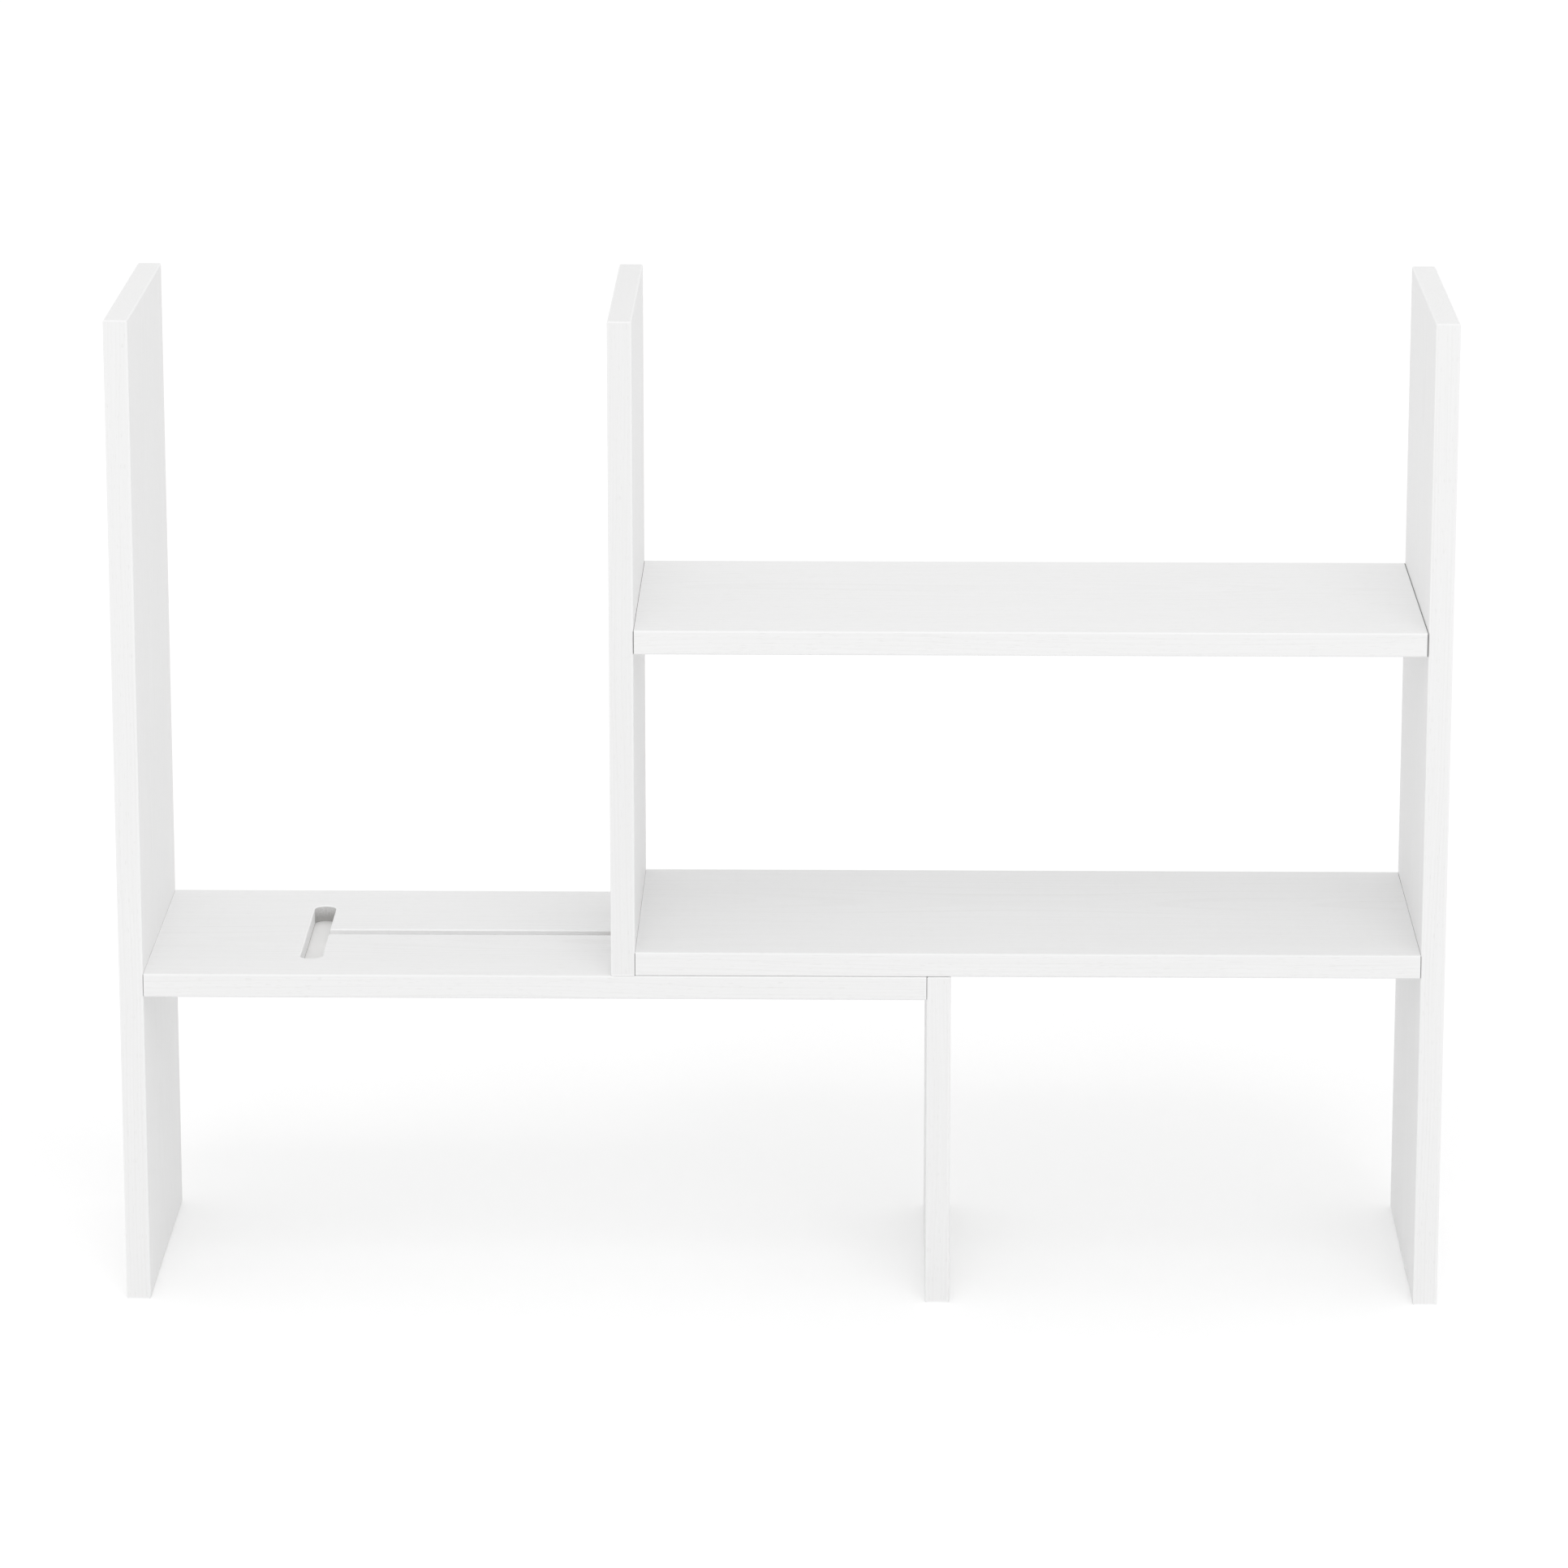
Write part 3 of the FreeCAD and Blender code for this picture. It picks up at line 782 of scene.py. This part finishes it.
@dataclass
class FastenerPair(ABC):
    """Two like fasteners of a butt joint, which lie along X and take the place of their plain node."""

    joint: str
    length: float = field(init=False)
    radius: float = field(init=False)
    starts: tuple[Vector, Vector] = field(init=False)
    kind: ClassVar[str]
    form: ClassVar[str]
    slot: ClassVar[Slot]

    def __post_init__(self) -> None:
        """Read the sizes of the fasteners, and the middles of their left ends, from the node's box."""
        low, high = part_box(self.node)
        self.length = high.x - low.x
        self.radius = (high.z - low.z) / 2
        height = (high.z + low.z) / 2
        axes = (low.y + self.radius, high.y - self.radius)
        self.starts = tuple(Vector((low.x, y, height)) for y in axes)

    @property
    def node(self) -> str:
        """Return the name of the pair's node."""
        return f"{self.joint}_{self.kind}"

    def build(self, body: Body, effects: Effects) -> bpy.types.Object:
        """Build the pair in place of its node.

        Args:
            body: the body that the fasteners belong to.
            effects: the shared node groups.

        Returns:
            The new piece.
        """
        pair = bmesh.new()
        for start in self.starts:
            self.add_one(pair, start)
        piece = new_piece(f"{self.joint}_{self.form}_{self.kind}", pair, self.finish().make(effects))
        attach(piece, body.value)
        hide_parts(self.node)
        return piece

    @abstractmethod
    def add_one(self, pair: bmesh.types.BMesh, start: Vector) -> None:
        """Add a fastener to the pair's bmesh, from the middle of its left end."""

    @abstractmethod
    def finish(self) -> Finish:
        """Return the pair's finish."""


@dataclass
class ScrewPair(FastenerPair):
    """The two countersunk wood screws of a butt joint, with threads and hexagon sockets."""

    head_side: HeadSide
    shank_diameter: float = 3.5 * MM
    core_diameter: float = 2.5 * MM
    plain_length: float = 11 * MM
    tip_length: float = 4.5 * MM
    sides: int = 24
    thread_pitch: float = 1.6 * MM
    thread_flank: float = 0.48 * MM
    thread_sink: float = 0.1 * MM
    thread_sides: int = 16
    rim_height: float = 0.25 * MM
    socket_width: float = 2.5 * MM
    socket_depth: float = 1.6 * MM
    front_turn: float = 0.3
    back_turn: float = 0.72
    kind: ClassVar[str] = "screws"
    form: ClassVar[str] = "threaded"
    slot: ClassVar[Slot] = Slot.ZINC_STEEL

    def finish(self) -> Finish:
        """Return the plating, with turning rings about both screws."""
        front, back = self.starts
        return ZincSteel(name=f"zinc_{self.joint}", height=front.z, spacing=back.y - front.y)

    def add_one(self, pair: bmesh.types.BMesh, start: Vector) -> None:
        """Add one screw, made along +X from its head and then turned to its side.

        Args:
            pair: the bmesh that it is added to.
            start: the middle of its left end.
        """
        screw = bmesh.new()
        self.turn_body(screw)
        self.cut_socket(screw)
        self.wind_thread(screw)
        bmesh.ops.remove_doubles(screw, verts=screw.verts, dist=MERGE_DISTANCE)
        head = start if self.head_side is HeadSide.LEFT else start + Vector((self.length, 0, 0))
        facing = Matrix.Rotation(self.head_side.value, 4, "Z")
        driven = Matrix.Rotation(self.front_turn if start.y < 0 else self.back_turn, 4, "X")
        bmesh.ops.transform(screw, matrix=Matrix.Translation(head) @ facing @ driven, verts=screw.verts)
        mesh = bpy.data.meshes.new("screw_copy")
        screw.to_mesh(mesh)
        screw.free()
        pair.from_mesh(mesh)
        bpy.data.meshes.remove(mesh)

    def turn_body(self, screw: bmesh.types.BMesh) -> None:
        """Turn the head's cone, the shank, the core and the tip.

        Args:
            screw: the bmesh that they are added to.
        """
        shank, core = self.shank_diameter / 2, self.core_diameter / 2
        cone_end = self.rim_height + self.radius - shank
        profile = [(0.0, self.radius), (self.rim_height, self.radius), (cone_end, shank),
                   (self.plain_length, shank), (self.plain_length + shank - core, core),
                   (self.length - self.tip_length, core), (self.length, 0.0)]
        points = [screw.verts.new((x, 0.0, across)) for x, across in profile]
        edges = [screw.edges.new(pair) for pair in zip(points, points[1:])]
        bmesh.ops.spin(screw, geom=points + edges, cent=(0, 0, 0), axis=(1, 0, 0), angle=FULL_TURN,
                       steps=self.sides, use_merge=True)

    def cut_socket(self, screw: bmesh.types.BMesh) -> None:
        """Close the head's face round a hexagon socket.

        Args:
            screw: the bmesh with the open head.
        """
        at_head = self.rim_height / 2
        open_edges = [edge for edge in screw.edges if edge.is_boundary]
        rim = [edge for edge in open_edges if all(vert.co.x < at_head for vert in edge.verts)]
        towards_head = Matrix.Rotation(QUARTER_TURN, 4, "Y")
        hexagon = bmesh.ops.create_circle(screw, segments=6, radius=self.socket_width / math.sqrt(3),
                                          matrix=towards_head)["verts"]
        mouth = list({edge for vert in hexagon for edge in vert.link_edges})
        bmesh.ops.bridge_loops(screw, edges=rim + mouth)
        walls = bmesh.ops.extrude_edge_only(screw, edges=mouth)["geom"]
        floor_verts = [item for item in walls if isinstance(item, bmesh.types.BMVert)]
        floor_edges = [item for item in walls if isinstance(item, bmesh.types.BMEdge)]
        bmesh.ops.translate(screw, verts=floor_verts, vec=(self.socket_depth, 0, 0))
        bmesh.ops.edgeloop_fill(screw, edges=floor_edges)

    def wind_thread(self, screw: bmesh.types.BMesh) -> None:
        """Wind a sharp thread round the core, from the plain shank to the tip.

        Args:
            screw: the bmesh that it is added to.
        """
        crest, root = self.shank_diameter / 2, self.core_diameter / 2 - self.thread_sink
        start = self.plain_length + crest - root
        turns = (self.length - self.tip_length - start) / self.thread_pitch
        steps = round(turns * self.thread_sides)
        profile = [(start - self.thread_flank, root), (start, crest), (start + self.thread_flank, root)]
        points = [screw.verts.new((x, 0.0, across)) for x, across in profile]
        bmesh.ops.spin(screw, geom=[screw.faces.new(points)], cent=(0, 0, 0), axis=(1, 0, 0),
                       dvec=(self.thread_pitch / self.thread_sides, 0, 0),
                       angle=FULL_TURN * steps / self.thread_sides, steps=steps)


@dataclass
class DowelPair(FastenerPair):
    """The two fluted locating dowels of a butt joint."""

    flutes: int = 20
    flute_depth: float = 0.22 * MM
    bevel: float = 0.8 * MM
    kind: ClassVar[str] = "dowels"
    form: ClassVar[str] = "fluted"
    slot: ClassVar[Slot] = Slot.BEECH

    def finish(self) -> Finish:
        """Return the bare timber, with its grain along the dowels."""
        return BareBeech(name=f"beech_{self.joint}", run=GrainRun.LYING)

    def add_one(self, pair: bmesh.types.BMesh, start: Vector) -> None:
        """Add one dowel along +X.

        Args:
            pair: the bmesh that it is added to.
            start: the middle of its left end.
        """
        about_start = Matrix.Translation(-start)
        lengthways = Matrix.Translation(start) @ Matrix.Rotation(QUARTER_TURN, 4, "Y")
        ring = bmesh.ops.create_circle(pair, cap_ends=True, segments=2 * self.flutes, radius=self.radius,
                                       matrix=lengthways)["verts"]
        valley, narrowed = 1 - self.flute_depth / self.radius, 1 - self.bevel / self.radius
        bmesh.ops.scale(pair, verts=ring[::2], vec=(1, valley, valley), space=about_start)
        bmesh.ops.scale(pair, verts=ring, vec=(1, narrowed, narrowed), space=about_start)
        rim = list({edge for vert in ring for edge in vert.link_edges})
        steps = ((self.bevel, 1 / narrowed), (self.length - 2 * self.bevel, 1.0), (self.bevel, narrowed))
        for advance, spread in steps:
            drawn = bmesh.ops.extrude_edge_only(pair, edges=rim)["geom"]
            verts = [item for item in drawn if isinstance(item, bmesh.types.BMVert)]
            rim = [item for item in drawn if isinstance(item, bmesh.types.BMEdge)]
            bmesh.ops.translate(pair, verts=verts, vec=(advance, 0, 0))
            bmesh.ops.scale(pair, verts=verts, vec=(1, spread, spread), space=about_start)
        bmesh.ops.edgeloop_fill(pair, edges=rim)


@dataclass
class Unit:
    """Boards that are butted and fastened together: one half of the bookshelf."""

    body: Body
    boards: tuple[Board, ...]
    joints: dict[str, HeadSide]

    def build(self, effects: Effects) -> list[bpy.types.Object]:
        """Paint the boards and build their fasteners.

        Args:
            effects: the shared node groups.

        Returns:
            The unit's pieces.
        """
        pieces = [board.dress(effects) for board in self.boards]
        for joint, head_side in self.joints.items():
            for pair in (ScrewPair(joint, head_side), DowelPair(joint)):
                pieces.append(pair.build(self.body, effects))
        return pieces


@dataclass
class LeftUnit(Unit):
    """The low unit: a tall side panel, the shelf with the guide slot and a short leg."""

    body: Body = Body.LEFT_UNIT
    boards: tuple[Board, ...] = (
        Panel(node="left_side_panel", along=0.7, pith_off=70 * MM),
        GuideShelf(node="left_shelf", along=2.1, pith_off=-75 * MM, joint_shade_left=0.03 * MM,
                   joint_shade_right=0.03 * MM),
        Panel(node="left_leg", along=3.4, pith_off=-60 * MM),
    )
    joints: dict[str, HeadSide] = field(default_factory=lambda: {
        "left_panel": HeadSide.LEFT,
        "left_leg": HeadSide.RIGHT,
    })


@dataclass
class RightUnit(Unit):
    """The tall unit: a divider, a side panel and two shelves between them."""

    body: Body = Body.RIGHT_UNIT
    boards: tuple[Board, ...] = (
        # The divider's white is set lower than the other boards': painted shade on all its faces.
        Panel(node="divider_panel", along=4.6, pith_off=65 * MM, white=0.895),
        Panel(node="right_side_panel", along=5.9, pith_off=-80 * MM),
        Shelf(node="lower_shelf", along=7.2, pith_off=70 * MM, joint_shade_left=0.02 * MM, joint_shade_right=0.12 * MM),
        Shelf(node="upper_shelf", along=8.3, pith_off=-65 * MM, joint_shade_left=0.2 * MM, joint_shade_right=0.55 * MM),
    )
    joints: dict[str, HeadSide] = field(default_factory=lambda: {
        "divider_lower": HeadSide.LEFT,
        "divider_upper": HeadSide.LEFT,
        "right_panel_lower": HeadSide.RIGHT,
        "right_panel_upper": HeadSide.RIGHT,
    })


@dataclass
class GuideDowel:
    """The bare dowel in the divider's foot that runs in the guide slot."""

    node: str = "guide_dowel"

    def build(self, effects: Effects) -> list[bpy.types.Object]:
        """Dress the dowel's node and return its object, in a list."""
        finish = BareBeech(name="beech_guide", run=GrainRun.UPRIGHT)
        return [dress_node(self.node, finish.make(effects))]


@dataclass(frozen=True)
class Softbox:
    """A square soft lamp."""

    name: str
    place: Vector
    aim: Vector
    size: float
    power: float

    def build(self) -> None:
        """Build the lamp, which the camera doesn't see."""
        light = bpy.data.lights.new(self.name, "AREA")
        light.shape = "SQUARE"
        light.size = self.size
        light.energy = self.power
        lamp = bpy.data.objects.new(self.name, light)
        lamp.location = self.place
        lamp.rotation_euler = (self.aim - self.place).to_track_quat("-Z", "Y").to_euler()
        lamp.visible_camera = False
        bpy.context.scene.collection.objects.link(lamp)


@dataclass
class Studio:
    """A white floor under an even white dome, with a soft lamp in front of and above the bookshelf.

    The lamp is weaker further away, so between near_reach and far_reach from the bookshelf the floor's
    glow gains far_glow.
    """

    floor_radius: float = 9.0
    floor_sides: int = 96
    floor_glow: float = 0.02
    far_glow: float = 0.07
    near_reach: float = 0.5
    far_reach: float = 4.0
    floor_seen: float = 1.1
    floor_bounce: float = 0.97
    dome: float = 0.86
    key: Softbox = Softbox(name="key_softbox", place=Vector((0.3, -2.4, 2.8)), aim=Vector((0.0, 0.0, 0.25)),
                           size=2.2, power=18.0)

    def build(self) -> None:
        """Build the floor, the dome and the lamp."""
        self.build_floor()
        self.build_dome()
        self.key.build()

    @staticmethod
    def add_seen(sheet: NodeSheet) -> bpy.types.NodeSocket:
        """Add a mask of what is seen directly, in gloss or through glass.

        Args:
            sheet: the sheet that it is added to.

        Returns:
            The mask's socket.
        """
        path = sheet.add("ShaderNodeLightPath").outputs
        mirrored = sheet.math("MAXIMUM", path["Is Glossy Ray"], path["Is Transmission Ray"])
        return sheet.math("MAXIMUM", path["Is Camera Ray"], mirrored)

    def build_floor(self) -> None:
        """Build a floor that is white to the eye, further from the lamp too, and keeps soft shadows."""
        material = bpy.data.materials.new("studio_floor")
        material.use_nodes = True
        material.node_tree.nodes.clear()
        sheet = NodeSheet(material.node_tree)
        x, y = sheet.parts(sheet.add("ShaderNodeTexCoord").outputs["Object"])[:2]
        far = sheet.ramp(sheet.distance(x, y), self.near_reach, self.far_reach)
        glow = sheet.add("ShaderNodeEmission")
        sheet.feed(glow.inputs["Strength"], sheet.math("MULTIPLY_ADD", far, self.far_glow, self.floor_glow))
        shaded = sheet.add("ShaderNodeBsdfDiffuse", (*[self.floor_seen] * 3, 1.0))
        bounced = sheet.add("ShaderNodeBsdfDiffuse", (*[self.floor_bounce] * 3, 1.0))
        seen = sheet.add("ShaderNodeAddShader", glow.outputs["Emission"], shaded.outputs["BSDF"])
        choice = sheet.add("ShaderNodeMixShader", self.add_seen(sheet), bounced.outputs["BSDF"],
                           seen.outputs["Shader"])
        output = sheet.add("ShaderNodeOutputMaterial")
        sheet.feed(output.inputs["Surface"], choice.outputs["Shader"])
        disc = bmesh.new()
        bmesh.ops.create_circle(disc, cap_ends=True, segments=self.floor_sides, radius=self.floor_radius)
        new_piece("studio_floor", disc, material)

    def build_dome(self) -> None:
        """Build an even white surround that is pure white where it is seen."""
        world = bpy.data.worlds.new("studio_dome")
        world.use_nodes = True
        world.node_tree.nodes.clear()
        sheet = NodeSheet(world.node_tree)
        strength = sheet.math("MULTIPLY_ADD", self.add_seen(sheet), 1.0 - self.dome, self.dome)
        light = sheet.add("ShaderNodeBackground", (1.0, 1.0, 1.0, 1.0), strength)
        output = sheet.add("ShaderNodeOutputWorld")
        sheet.feed(output.inputs["Surface"], light.outputs["Background"])
        bpy.context.scene.world = world


@dataclass
class PhotoCamera:
    """The camera at the photograph's viewing angle."""

    place: Vector = Vector((0.0509, -3.3409, 1.1053))
    pitch_down: float = math.radians(14.385)
    turn_left: float = math.radians(0.867)
    lens_mm: float = 156.7
    sensor_mm: float = 36.0
    near: float = 0.05
    far: float = 60.0

    def build(self) -> None:
        """Make the camera and give it to the scene."""
        data = bpy.data.cameras.new("photo_camera")
        data.lens = self.lens_mm
        data.sensor_width = self.sensor_mm
        data.clip_start = self.near
        data.clip_end = self.far
        camera = bpy.data.objects.new("photo_camera", data)
        camera.location = self.place
        camera.rotation_euler = (QUARTER_TURN - self.pitch_down, 0.0, self.turn_left)
        bpy.context.scene.collection.objects.link(camera)
        bpy.context.scene.camera = camera


def main() -> None:
    """Build the bookshelf's looks, then its studio and its camera."""
    logging.basicConfig(level=logging.INFO, format="%(name)s: %(message)s")
    effects = Effects()
    for assembly in (LeftUnit(), GuideDowel(), RightUnit()):
        for piece in assembly.build(effects):
            log.info("%s: %s", type(assembly).__name__, piece.name)
    Studio().build()
    PhotoCamera().build()
    bpy.context.scene.view_settings.view_transform = "Standard"


if __name__ == "__main__":
    main()
